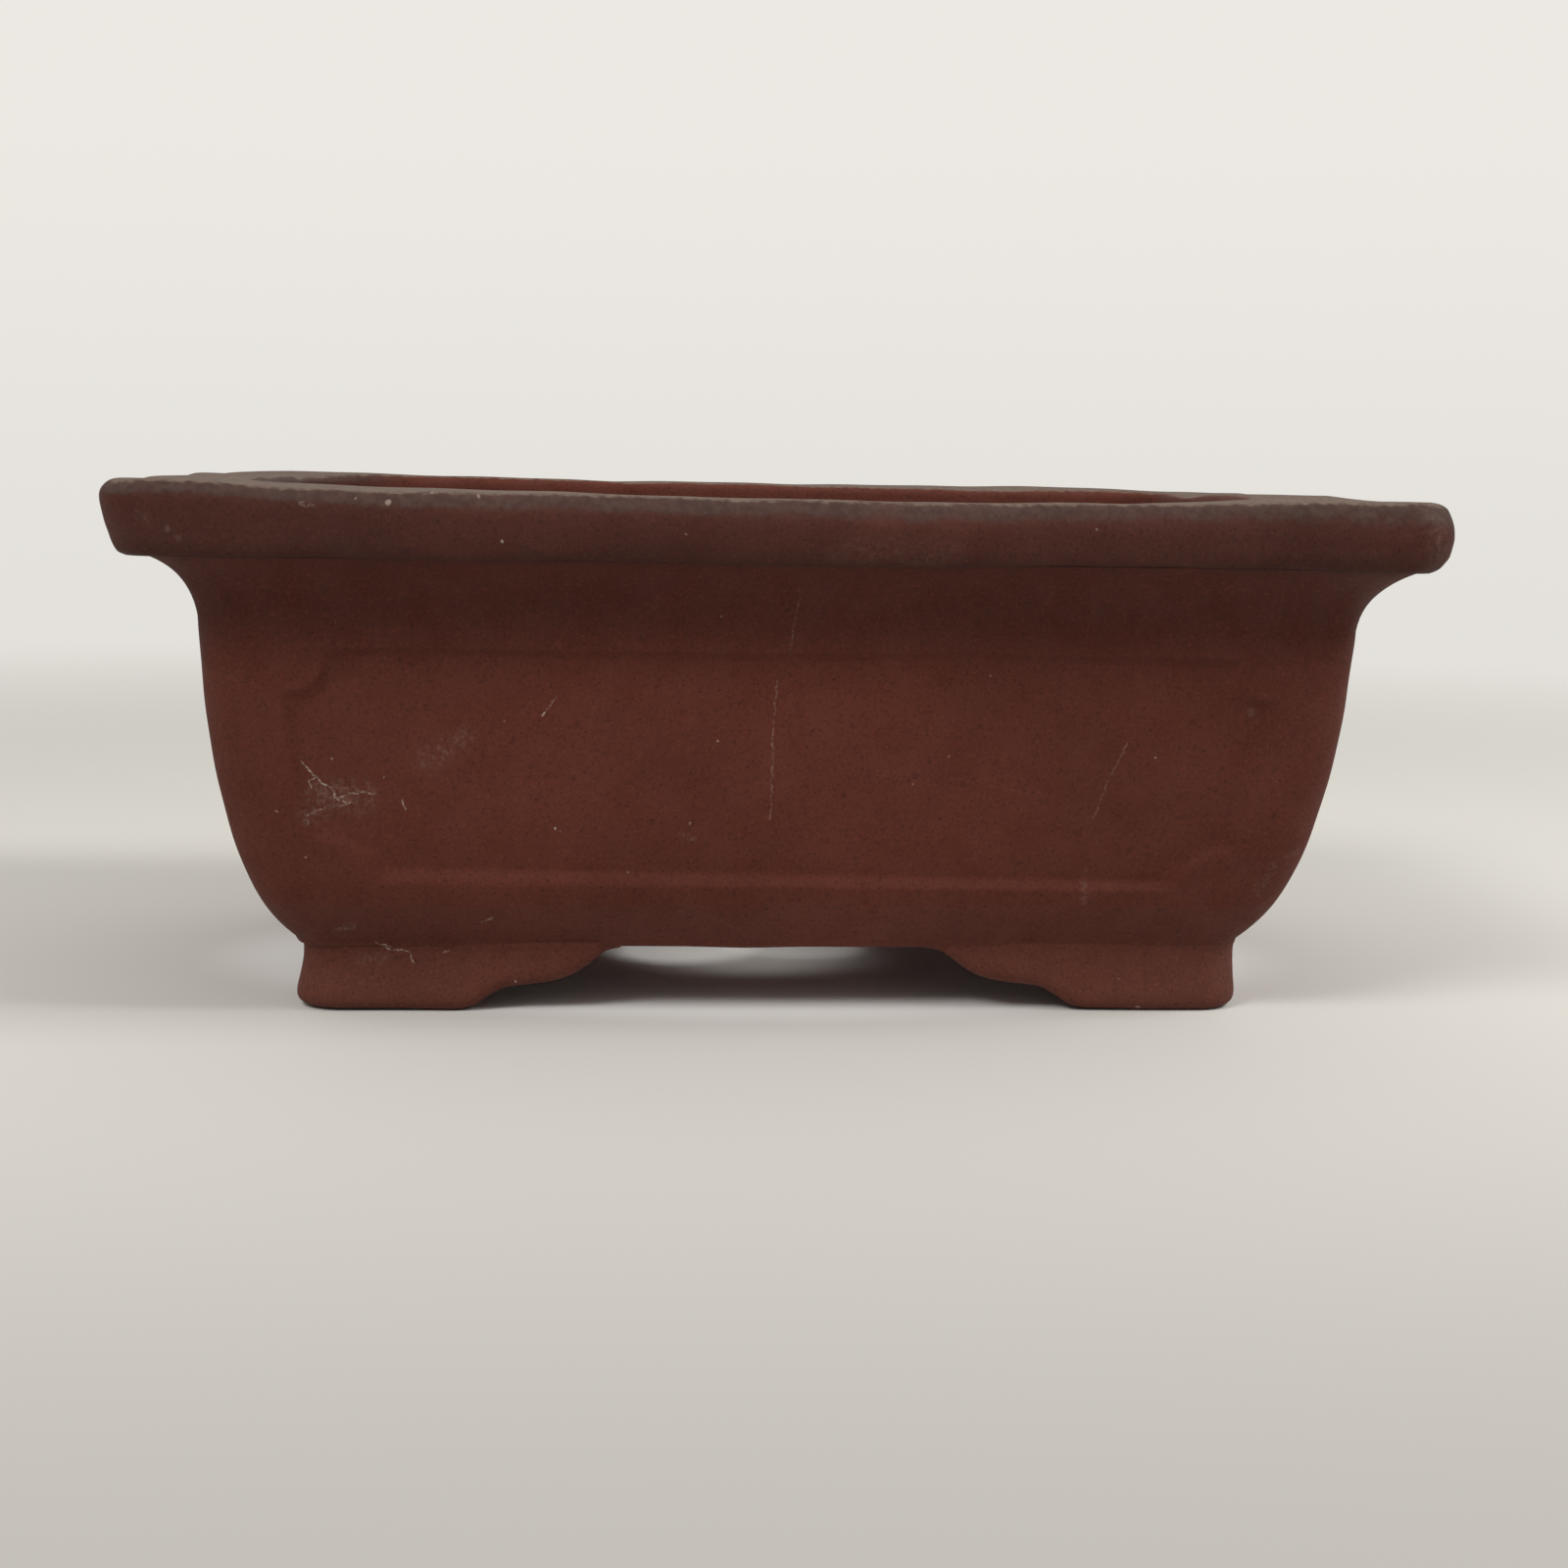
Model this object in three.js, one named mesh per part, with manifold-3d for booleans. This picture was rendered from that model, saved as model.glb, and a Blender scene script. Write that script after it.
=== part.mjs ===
// An unglazed rectangular bonsai pot, hand-built from clay slabs: a floor slab on four cloud feet, four walls
// mitred at the corners, and a lip of four mitred strips. Millimetres, +Z up, origin on the ground under the centre.
// X runs along the long side and -Y is the front. Every piece is luted to its neighbours with a thin layer of slip.
import * as THREE from "three";
import { mergeVertices } from "three/addons/utils/BufferGeometryUtils.js";
import Module from "manifold-3d";

const wasm = await Module();
wasm.setup();

// ---- Driving dimensions, in millimetres ----
const rimLength = 150;
const rimDepth = 112;
const potHeight = 61;
const slipJoint = 0.3; // slip between two luted pieces

const wallThickness = 6.2;
const floorThickness = 6;
const outerCornerRadius = 5;
const innerCornerRadius = 6.5;
const floorFillet = 4; // clay pressed into the seam between walls and floor

const lipHeight = 7.95;
const lipOverhang = 8.7; // from the neck of the wall out to the lip's edge
const lipUndercut = 1.3; // how far the lip's face leans in at its lower edge
const lipTopRound = 2.4;
const lipLowerRound = 1.1;
const lipInnerRound = 1;
const coveDrop = 7.05; // from the lip's underside down to the neck
const coveReach = 6.2; // from the neck out to where the cove meets the lip

const baseInset = 18.9; // from the lip's edge in to the foot of the belly curve
const bellyLowerPull = [6.9, 7.7]; // the belly curve's lower handle: outwards and up from its foot
const bellyUpperPull = [1.25, 18]; // its upper handle: inwards and down from the neck

const panelDepth = 0.8;
const panelMargin = 10.2; // from the pot's vertical edge in to the panel's side
const panelBottomZ = 16.2;
const panelTopZ = 42.2;
const panelScoopRadius = 5;

const footHeight = 7.3;
const footThickness = 9;
const footFlare = 0.6; // how far the foot spreads at its sole
const footSetBack = 0.5; // from the belly's lower edge in to the foot's neck
const footSoleRound = 1;
const footLengthFront = 36.4; // from the pot's corner to where the arch reaches the floor slab
const footLengthSide = 26.5;
const footSoleFront = 20; // the length of the sole along the front
const footSoleSide = 13.5;
const scallopNotchRun = 4.6; // from the end of the sole to the notch of the arch's edge
const scallopNotchRise = 2.8;
const scallopSoleEase = 1.4; // how far the edge still runs level past the sole
const scallopNotchEase = 2.8; // how far it runs level before the notch

const drainRadius = 10;
const drainEdgeRound = 1;

// ---- Facet counts ----
const cornerSteps = 7;
const bellySteps = 12;
const coveSteps = 6;
const roundSteps = 4;
const drainSteps = 40;
const scoopSteps = 32;
const scallopSteps = 6;

// ---- Places worked out from the dimensions ----
const lipBottomZ = potHeight - lipHeight;
const neckZ = lipBottomZ - coveDrop;
const floorTopZ = footHeight + floorThickness;
const openingInset = lipOverhang + wallThickness;
const overshoot = 20; // how far a cutter reaches past what it cuts

// ---- Solids: three.js geometry in and out of manifold-3d ----
function solidOf(geometry) {
  const bare = geometry.clone();
  bare.deleteAttribute("normal");
  bare.deleteAttribute("uv");
  const merged = mergeVertices(bare, 1e-4);
  const mesh = new wasm.Mesh({
    numProp: 3,
    vertProperties: merged.attributes.position.array,
    triVerts: new Uint32Array(merged.index.array),
  });
  return new wasm.Manifold(mesh);
}

function geometryOf(solid) {
  const { vertProperties, triVerts } = solid.getMesh();
  const geometry = new THREE.BufferGeometry();
  geometry.setAttribute("position", new THREE.BufferAttribute(vertProperties, 3));
  geometry.setIndex(new THREE.BufferAttribute(triVerts, 1));
  geometry.computeVertexNormals();
  return geometry;
}

// The points of a rectangle with round corners, anticlockwise, the same count at every size.
function roundedRectangle(halfX, halfY, radius) {
  const corners = [
    [halfX - radius, halfY - radius, 0],
    [radius - halfX, halfY - radius, 1],
    [radius - halfX, radius - halfY, 2],
    [halfX - radius, radius - halfY, 3],
  ];
  return corners.flatMap(([x, y, quarter]) =>
    Array.from({ length: cornerSteps + 1 }, (_, i) => {
      const angle = ((quarter + i / cornerSteps) * Math.PI) / 2;
      return new THREE.Vector2(x + radius * Math.cos(angle), y + radius * Math.sin(angle));
    }),
  );
}

// A closed solid through rounded rectangles stacked up Z. Each profile point holds the inset from the lip's
// outer edge (x) and the height (y).
function loft(profile, cornerRadius) {
  const rings = profile.map((p) => roundedRectangle(rimLength / 2 - p.x, rimDepth / 2 - p.x, cornerRadius));
  const count = rings[0].length;
  const positions = rings.flatMap((ring, row) => ring.flatMap((p) => [p.x, p.y, profile[row].y]));
  const bottomCentre = rings.length * count;
  const topCentre = bottomCentre + 1;
  positions.push(0, 0, profile[0].y, 0, 0, profile[rings.length - 1].y);
  const faces = [];
  for (let i = 0; i < count; i++) {
    const next = (i + 1) % count;
    for (let row = 0; row + 1 < rings.length; row++) {
      const low = row * count;
      const high = low + count;
      faces.push(low + i, low + next, high + next, low + i, high + next, high + i);
    }
    const top = (rings.length - 1) * count;
    faces.push(bottomCentre, next, i, topCentre, top + i, top + next);
  }
  const geometry = new THREE.BufferGeometry();
  geometry.setAttribute("position", new THREE.Float32BufferAttribute(positions, 3));
  geometry.setIndex(faces);
  return solidOf(geometry);
}

// An outline in X and Z pushed along Y through the whole pot, or in Y and Z pushed along X.
function throughY(shape) {
  const depth = rimDepth + 2 * overshoot;
  const geometry = new THREE.ExtrudeGeometry(shape, { depth, bevelEnabled: false, curveSegments: scallopSteps });
  geometry.translate(0, 0, -depth / 2).rotateX(Math.PI / 2);
  return solidOf(geometry);
}

function throughX(shape) {
  const depth = rimLength + 2 * overshoot;
  const geometry = new THREE.ExtrudeGeometry(shape, { depth, bevelEnabled: false, curveSegments: scallopSteps });
  geometry.translate(0, 0, -depth / 2).rotateX(Math.PI / 2).rotateZ(Math.PI / 2);
  return solidOf(geometry);
}

// ---- Profiles: inset from the lip's outer edge, and height ----
const point = (inset, z) => new THREE.Vector2(inset, z);

// The belly, from the floor slab's lower edge up to the neck.
const belly = new THREE.CubicBezierCurve(
  point(baseInset, footHeight),
  point(baseInset - bellyLowerPull[0], footHeight + bellyLowerPull[1]),
  point(lipOverhang + bellyUpperPull[0], neckZ - bellyUpperPull[1]),
  point(lipOverhang, neckZ),
);

// The cove, from the neck out under the lip: a short bend, then a straight slope.
const cove = new THREE.CubicBezierCurve(
  point(lipOverhang, neckZ),
  point(lipOverhang - coveReach * 0.14, neckZ + coveDrop * 0.58),
  point(lipOverhang - coveReach * 0.15, neckZ + coveDrop * 0.45),
  point(lipOverhang - coveReach, lipBottomZ),
);

// The belly moved inwards by the wall's thickness, at right angles to itself.
function innerBelly() {
  return belly.getPoints(bellySteps).map((p, i) => {
    const along = belly.getTangent(i / bellySteps);
    return point(p.x + wallThickness * along.y, p.y - wallThickness * along.x);
  });
}

// The part of a profile between two heights, with its ends cut exactly there.
function between(points, low, high) {
  const at = (z) => {
    const i = Math.max(1, points.findIndex((p) => p.y >= z));
    const [a, b] = [points[i - 1], points[i]];
    return point(a.x + ((b.x - a.x) * (z - a.y)) / (b.y - a.y), z);
  };
  return [at(low), ...points.filter((p) => p.y > low + 0.05 && p.y < high - 0.05), at(high)];
}

const outerProfile = [...belly.getPoints(bellySteps), ...cove.getPoints(coveSteps).slice(1)];

// The hollow: a fillet on the floor, the belly's inner side, then straight up through the lip.
function hollowProfile() {
  const side = [...innerBelly(), point(openingInset, potHeight + overshoot)];
  const filletTop = between(side, floorTopZ + floorFillet, potHeight)[0];
  const slope = new THREE.QuadraticBezierCurve(
    point(filletTop.x + floorFillet * 1.6, floorTopZ),
    point(filletTop.x + floorFillet * 0.45, floorTopZ),
    filletTop,
  );
  const fillet = slope.getPoints(roundSteps);
  const above = between(side, floorTopZ + floorFillet, potHeight - lipInnerRound).slice(1);
  const innerEdge = [point(openingInset - lipInnerRound, potHeight), point(openingInset - lipInnerRound, potHeight + 5)];
  return [...fillet, ...above, ...innerEdge];
}

// The lip's outer face: a small round below, a lean outwards, and a larger round on top.
function lipProfile() {
  const lower = new THREE.QuadraticBezierCurve(
    point(lipUndercut + lipLowerRound, lipBottomZ),
    point(lipUndercut, lipBottomZ),
    point(lipUndercut * 0.8, lipBottomZ + lipLowerRound),
  );
  const upper = new THREE.QuadraticBezierCurve(
    point(0, potHeight - lipTopRound),
    point(0, potHeight),
    point(lipTopRound, potHeight),
  );
  return [...lower.getPoints(roundSteps), ...upper.getPoints(roundSteps)];
}

// A foot's outer face: a rounded sole edge, a flare, and a slightly narrower neck under the belly.
function footProfile() {
  const neck = baseInset + footSetBack;
  const sole = new THREE.QuadraticBezierCurve(
    point(neck - footFlare + footSoleRound, 0),
    point(neck - footFlare, 0),
    point(neck - footFlare, footSoleRound),
  );
  const flare = new THREE.QuadraticBezierCurve(
    point(neck - footFlare, footSoleRound),
    point(neck, footHeight * 0.4),
    point(neck, footHeight - slipJoint),
  );
  return [...sole.getPoints(roundSteps), ...flare.getPoints(roundSteps).slice(1)];
}

// ---- Cutters ----
// The quarter of the pot that a mitred side takes: a trapezium from the lip's edge to past the wall.
function mitreWedge(side) {
  const out = overshoot;
  const inward = Math.min(rimLength, rimDepth) / 2 - 1;
  const shave = slipJoint / Math.SQRT2;
  const alongX = side === "front" || side === "back";
  const [across, away] = alongX ? [rimLength / 2, rimDepth / 2] : [rimDepth / 2, rimLength / 2];
  const shape = new THREE.Shape([
    point(-across - out + shave, -away - out),
    point(across + out - shave, -away - out),
    point(across - inward - shave, -away + inward),
    point(-across + inward + shave, -away + inward),
  ]);
  const geometry = new THREE.ExtrudeGeometry(shape, { depth: potHeight + 2 * overshoot, bevelEnabled: false });
  const turns = { front: 0, right: 1, back: 2, left: 3 };
  geometry.translate(0, 0, -overshoot).rotateZ((turns[side] * Math.PI) / 2);
  return solidOf(geometry);
}

// The window panel's outline on a wall of the given half width: sides that keep a margin to the belly's edge.
function panelOutline(halfWall) {
  const side = between(outerProfile, panelBottomZ, panelTopZ);
  const right = side.map((p) => point(halfWall - p.x - panelMargin, p.y));
  const left = right.map((p) => point(-p.x, p.y)).reverse();
  return { shape: new THREE.Shape([...right, ...left]), corners: [right[0], right.at(-1), left[0], left.at(-1)] };
}

// A panel's cutter: its outline pushed through the pot, less the scooped corners and the clay below the recess.
function panelCutter(halfWall, through, turn) {
  const { shape, corners } = panelOutline(halfWall);
  const reach = rimLength + rimDepth;
  const scoops = corners.map((corner) => {
    const scoop = new THREE.CylinderGeometry(panelScoopRadius, panelScoopRadius, reach, scoopSteps);
    scoop.translate(corner.x, 0, corner.y).rotateZ(turn);
    return solidOf(scoop);
  });
  const deep = loft(
    outerProfile.map((p) => point(p.x + panelDepth, p.y)),
    outerCornerRadius,
  );
  return scoops.reduce((cut, scoop) => cut.subtract(scoop), through(shape)).subtract(deep);
}

// The open arch between two feet: a flat crown and a scalloped edge down to each sole.
function archShape(halfBase, footLength, soleLength) {
  const soleEnd = halfBase - soleLength;
  const crownEnd = halfBase - footLength;
  const notchEnd = soleEnd - scallopNotchRun;
  const run = notchEnd - crownEnd;
  const shape = new THREE.Shape();
  shape.moveTo(-soleEnd, -overshoot);
  shape.lineTo(soleEnd, -overshoot);
  shape.lineTo(soleEnd, 0);
  shape.bezierCurveTo(
    soleEnd - scallopSoleEase, 0, notchEnd + scallopNotchEase, scallopNotchRise * 0.85, notchEnd, scallopNotchRise,
  );
  shape.bezierCurveTo(
    notchEnd - run * 0.45, scallopNotchRise * 1.05, crownEnd + run * 0.22, footHeight * 0.58, crownEnd, footHeight,
  );
  shape.lineTo(crownEnd, footHeight + overshoot);
  shape.lineTo(-crownEnd, footHeight + overshoot);
  shape.lineTo(-crownEnd, footHeight);
  shape.bezierCurveTo(
    -crownEnd - run * 0.22, footHeight * 0.58, -notchEnd + run * 0.45, scallopNotchRise * 1.05, -notchEnd,
    scallopNotchRise,
  );
  shape.bezierCurveTo(
    -notchEnd - scallopNotchEase, scallopNotchRise * 0.85, -soleEnd + scallopSoleEase, 0, -soleEnd, 0,
  );
  return shape;
}

// ---- Clay bodies and their colours ----
const clay = new THREE.MeshStandardMaterial({ color: 0x5c3026, roughness: 0.82, metalness: 0 });
const wallClay = new THREE.MeshStandardMaterial({ color: 0x5a2b22, roughness: 0.82, metalness: 0 });
const lipClay = new THREE.MeshStandardMaterial({ color: 0x573229, roughness: 0.86, metalness: 0 });
const footClay = new THREE.MeshStandardMaterial({ color: 0x63352a, roughness: 0.8, metalness: 0 });

const pot = new THREE.Group();

function addPiece(name, solid, material) {
  const mesh = new THREE.Mesh(geometryOf(solid), material);
  mesh.name = name;
  pot.add(mesh);
}

const hollow = loft(hollowProfile(), innerCornerRadius);

// The floor slab, with one round drain hole in its middle whose edges are smoothed with a wet finger.
const slabTopZ = floorTopZ - slipJoint;
const drainProfile = [
  point(0, -overshoot),
  point(drainRadius + drainEdgeRound, -overshoot),
  point(drainRadius + drainEdgeRound, footHeight),
  point(drainRadius + drainEdgeRound * 0.3, footHeight + drainEdgeRound * 0.3),
  point(drainRadius, footHeight + drainEdgeRound),
  point(drainRadius, slabTopZ - drainEdgeRound),
  point(drainRadius + drainEdgeRound * 0.3, slabTopZ - drainEdgeRound * 0.3),
  point(drainRadius + drainEdgeRound, slabTopZ),
  point(drainRadius + drainEdgeRound, slabTopZ + overshoot),
  point(0, slabTopZ + overshoot),
];
const drain = new THREE.LatheGeometry(drainProfile, drainSteps).rotateX(Math.PI / 2);
const floorSlab = loft(between(outerProfile, footHeight, slabTopZ), outerCornerRadius);
addPiece("floor_slab", floorSlab.subtract(solidOf(drain)), clay);

// Four walls that stand on the floor slab, each with a recessed window panel.
const wallRing = loft(between(outerProfile, floorTopZ, lipBottomZ - slipJoint), outerCornerRadius).subtract(hollow);
const panels = {
  front: panelCutter(rimLength / 2, throughY, 0),
  side: panelCutter(rimDepth / 2, throughX, Math.PI / 2),
};
for (const side of ["front", "back", "left", "right"]) {
  const panel = side === "front" || side === "back" ? panels.front : panels.side;
  addPiece(`${side}_wall`, wallRing.intersect(mitreWedge(side)).subtract(panel), wallClay);
}

// Four strips of lip, mitred like a picture frame, on top of the walls.
const lipRing = loft(lipProfile(), outerCornerRadius).subtract(hollow);
for (const side of ["front", "back", "left", "right"])
  addPiece(`${side}_lip`, lipRing.intersect(mitreWedge(side)), lipClay);

// Four L-shaped cloud feet: a flared band under the floor slab, opened by an arch on every side.
const halfBaseX = rimLength / 2 - baseInset;
const halfBaseY = rimDepth / 2 - baseInset;
const footCore = new THREE.BoxGeometry(
  2 * (halfBaseX - footThickness), 2 * (halfBaseY - footThickness), footHeight + 2 * overshoot,
);
const footBand = loft(footProfile(), outerCornerRadius)
  .subtract(solidOf(footCore))
  .subtract(throughY(archShape(halfBaseX, footLengthFront, footSoleFront)))
  .subtract(throughX(archShape(halfBaseY, footLengthSide, footSoleSide)));
const footPlaces = [
  ["front_left_foot", -1, -1],
  ["front_right_foot", 1, -1],
  ["back_left_foot", -1, 1],
  ["back_right_foot", 1, 1],
];
for (const [name, x, y] of footPlaces) {
  const quarter = new THREE.BoxGeometry(rimLength, rimDepth, 4 * potHeight);
  quarter.translate((x * rimLength) / 2, (y * rimDepth) / 2, 0);
  addPiece(name, footBand.intersect(solidOf(quarter)), footClay);
}

export default pot;
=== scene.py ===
"""Looks for an unglazed rectangular bonsai pot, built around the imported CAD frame.

The pot's whole skin is one closed loft: a cross-section loop (floor, belly, cove, lip, inside, floor, drain
hole) carried round a rounded rectangle. It is worked out once, in millimetres, bent a little as hand-made
clay is, and then cut into the same pieces as the CAD model, so that the pieces meet without a step. The feet
are separate pieces.
"""
import math
import bpy
import numpy as np
from mathutils import Matrix, Vector


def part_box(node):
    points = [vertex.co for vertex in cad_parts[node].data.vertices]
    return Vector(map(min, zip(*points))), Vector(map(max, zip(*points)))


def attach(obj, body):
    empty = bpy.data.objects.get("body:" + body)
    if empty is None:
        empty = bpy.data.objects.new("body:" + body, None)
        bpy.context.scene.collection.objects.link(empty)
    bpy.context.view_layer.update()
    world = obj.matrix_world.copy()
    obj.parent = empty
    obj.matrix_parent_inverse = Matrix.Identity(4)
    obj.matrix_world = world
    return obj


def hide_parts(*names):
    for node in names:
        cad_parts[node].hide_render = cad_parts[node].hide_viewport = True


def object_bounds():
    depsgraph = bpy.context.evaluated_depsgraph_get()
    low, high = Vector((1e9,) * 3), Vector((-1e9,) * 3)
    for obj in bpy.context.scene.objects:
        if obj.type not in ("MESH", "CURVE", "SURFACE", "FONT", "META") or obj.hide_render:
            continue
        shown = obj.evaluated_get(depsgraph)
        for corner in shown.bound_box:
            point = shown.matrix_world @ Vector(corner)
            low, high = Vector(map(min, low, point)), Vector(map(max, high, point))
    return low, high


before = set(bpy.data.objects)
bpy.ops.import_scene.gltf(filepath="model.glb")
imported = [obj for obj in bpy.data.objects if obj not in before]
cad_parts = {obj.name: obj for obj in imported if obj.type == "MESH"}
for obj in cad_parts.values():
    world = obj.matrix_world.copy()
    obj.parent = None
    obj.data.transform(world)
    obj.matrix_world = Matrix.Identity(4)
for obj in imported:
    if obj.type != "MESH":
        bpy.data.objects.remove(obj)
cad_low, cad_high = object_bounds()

MM = 0.001

# ---------------------------------------------------------------- places from the frame, in millimetres
HALF_X = cad_high.x / MM
HALF_Y = cad_high.y / MM
RIM_Z = cad_high.z / MM
LIP_LOW_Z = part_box("front_lip")[0].z / MM
FLOOR_LOW_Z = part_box("floor_slab")[0].z / MM
FLOOR_TOP_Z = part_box("floor_slab")[1].z / MM

# ---------------------------------------------------------------- the pot's own sizes, in millimetres
BASE_INSET = 18.9
NECK_INSET = 8.7
NECK_Z = 46.0
WALL = 6.2
OUTER_RADIUS = 5.0
INNER_RADIUS = 7.0
DRAIN_RADIUS = 10.0
INNER_INSET = NECK_INSET + WALL

PANEL_MARGIN = 10.2
PANEL_LOW_Z = 16.15
PANEL_HIGH_Z = 42.4
PANEL_SCOOP = 5.0
PANEL_DEPTH = 0.85
PANEL_MARGIN_SHIFT = 0.3  # how much wider the panel's margin is at a side's right end than at its middle
PANEL_LOW_SHIFT = 0.75  # how much lower its lower edge is there
PANEL_END_SOFT = 1.1  # half widths of its soft edge: at the ends
PANEL_LOW_SOFT = 0.75  # along the bottom, at the middle
PANEL_LOW_SOFT_SHIFT = 0.3  # and how much sharper that gets at the right end
PANEL_HIGH_SOFT = 0.6  # along the top
PANEL_SCOOP_SOFT = 0.9  # at the lower scooped corners

FOOT_SET_BACK = 0.45
FOOT_FLARE = 0.9
FOOT_THICKNESS = 9.0


def bezier(p0, p1, p2, p3, count):
    """Points of a cubic curve, both ends included."""
    t = np.linspace(0.0, 1.0, count)[:, None]
    p0, p1, p2, p3 = (np.array(p, float) for p in (p0, p1, p2, p3))
    return (1 - t) ** 3 * p0 + 3 * t * (1 - t) ** 2 * p1 + 3 * t**2 * (1 - t) * p2 + t**3 * p3


def spline(points, per_span):
    """A smooth curve through every point, the first and last included."""
    p = np.array(points, float)
    p = np.vstack([2 * p[0] - p[1], p, 2 * p[-1] - p[-2]])
    out = [p[1]]
    for i in range(1, len(p) - 2):
        a, b, c, d = p[i - 1:i + 3]
        for t in np.arange(1, per_span + 1) / per_span:
            curve = (2 * a - 5 * b + 4 * c - d) * t**2 + (3 * b - a - 3 * c + d) * t**3
            out.append(0.5 * (2 * b + (c - a) * t + curve))
    return np.array(out)


def steps(*stretches):
    """Numbers from stretches (low, high, largest step) joined end to end."""
    out = []
    for low, high, step in stretches:
        n = max(1, math.ceil(abs(high - low) / step))
        out.extend(low + (high - low) * i / n for i in range(n))
    out.append(stretches[-1][1])
    return np.array(out)


def smoothstep(x, low, high):
    """0 up to low, 1 from high on, and an S-curve between them."""
    t = np.clip((x - low) / (high - low), 0.0, 1.0)
    return t * t * (3 - 2 * t)


# ---------------------------------------------------------------- the cross-section
# Its points are (inset from the lip's edge, height).
belly_curve = bezier(
    (BASE_INSET - 0.1, FLOOR_LOW_Z + 1.0), (12.0, 15.3), (9.95, 28.0), (NECK_INSET, NECK_Z), 400
)


def belly_inset(z):
    """The outer wall's inset from the lip's edge at a height."""
    return np.interp(z, belly_curve[:, 1], belly_curve[:, 0])


def belly_row(z):
    return np.stack([belly_inset(z), z], 1)


WALL_LOW_Z = FLOOR_TOP_Z + 0.15
JOINT = (2.7, LIP_LOW_Z)  # where the lip's underside meets the wall

floor_edge = bezier(
    (BASE_INSET + 1.3, FLOOR_LOW_Z), (BASE_INSET + 0.4, FLOOR_LOW_Z), (BASE_INSET, FLOOR_LOW_Z + 0.4),
    (BASE_INSET - 0.1, FLOOR_LOW_Z + 1.0), 7,
)
floor_band = belly_row(steps((FLOOR_LOW_Z + 1.0, WALL_LOW_Z, 0.6)))
floor_outer = np.vstack([floor_edge[:-1], floor_band])

wall_z = steps(
    (WALL_LOW_Z, 14.6, 0.5), (14.6, 18.2, 0.26), (18.2, 21.4, 0.42), (21.4, 37.0, 1.1),
    (37.0, 41.0, 0.42), (41.0, 43.8, 0.28), (43.8, NECK_Z, 0.7),
)
cove = bezier((NECK_INSET, NECK_Z), (7.95, 49.9), (5.7, 51.9), JOINT, 16)
wall_outer = np.vstack([belly_row(wall_z), cove[1:]])

# The lip's face at the left end and at the right end. Between them it changes slowly from one to the other.
LIP_LEFT = [
    (2.7, 52.3), (1.9, 52.4), (1.1, 52.9), (0.55, 54.0), (0.25, 55.0), (-0.05, 56.0), (-0.25, 57.0),
    (-0.4, 57.9), (-0.45, 58.75), (-0.3, 59.5), (0.1, 60.15), (0.7, 60.68), (1.5, 60.94), (2.6, 61.0),
]
LIP_RIGHT = [
    (2.7, 52.95), (2.15, 53.2), (1.6, 53.62), (1.12, 54.35), (0.78, 55.0), (0.55, 56.1), (0.42, 56.9),
    (0.42, 57.6), (0.5, 58.4), (0.68, 59.1), (0.92, 59.75), (1.25, 60.4), (1.9, 60.85), (2.6, 61.0),
]
lip_left, lip_right = spline(LIP_LEFT, 2), spline(LIP_RIGHT, 2)
lip_outer = (lip_left + lip_right) / 2
lip_swing = (lip_left - lip_right) / 2
lip_top = np.array([(d, RIM_Z) for d in steps((2.6, INNER_INSET - 1.6, 1.1))[1:]])
lip_inner = np.vstack([
    bezier(
        (INNER_INSET - 1.6, RIM_Z), (INNER_INSET - 0.5, RIM_Z), (INNER_INSET, RIM_Z - 0.5),
        (INNER_INSET, RIM_Z - 1.6), 7,
    )[1:],
    np.stack([np.full(5, INNER_INSET), np.linspace(RIM_Z - 2.8, JOINT[1], 5)], 1),
])
lip_rows = np.vstack([lip_outer, lip_top, lip_inner])


def inner_side(z):
    """The inside of the wall: the belly moved in by the wall's thickness."""
    dz = 0.1
    slope = (belly_inset(z + dz) - belly_inset(z - dz)) / (2 * dz)
    shift = WALL / np.sqrt(1 + slope**2)
    offset_z = z - slope * WALL / np.sqrt(1 + slope**2)
    return belly_inset(z) + shift, offset_z


inner_d, inner_z = inner_side(np.linspace(10.0, 45.0, 200))
FILLET_TOP_Z = FLOOR_TOP_Z + 5.0
inner_wall_z = steps((JOINT[1], 44.0, 1.6), (44.0, 24.0, 2.0), (24.0, FILLET_TOP_Z, 1.0))
inner_wall_d = np.where(
    inner_wall_z > inner_z[-1], INNER_INSET, np.interp(inner_wall_z, inner_z, inner_d)
)
blend = smoothstep(inner_wall_z, 36.0, 50.0)
inner_wall_d = inner_wall_d * (1 - blend) + INNER_INSET * blend
fillet = bezier(
    (inner_wall_d[-1], FILLET_TOP_Z), (inner_wall_d[-1] + 1.4, FILLET_TOP_Z - 2.6),
    (inner_wall_d[-1] + 3.2, FLOOR_TOP_Z + 0.1), (inner_wall_d[-1] + 6.4, FLOOR_TOP_Z), 10,
)
wall_inner = np.vstack([np.stack([inner_wall_d, inner_wall_z], 1), fillet[1:]])

SECTION = [
    ("floor_outer", floor_outer), ("wall_outer", wall_outer[1:]),
    ("lip", lip_rows[1:]), ("wall_inner", wall_inner[1:]),
]

# ---------------------------------------------------------------- stations round the plan
ARC_STEPS = 8
NEAR = steps((OUTER_RADIUS, 7.2, 0.55), (7.2, 9.9, 0.3), (9.9, 14.6, 0.45))
MID_STEP = 1.25


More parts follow.
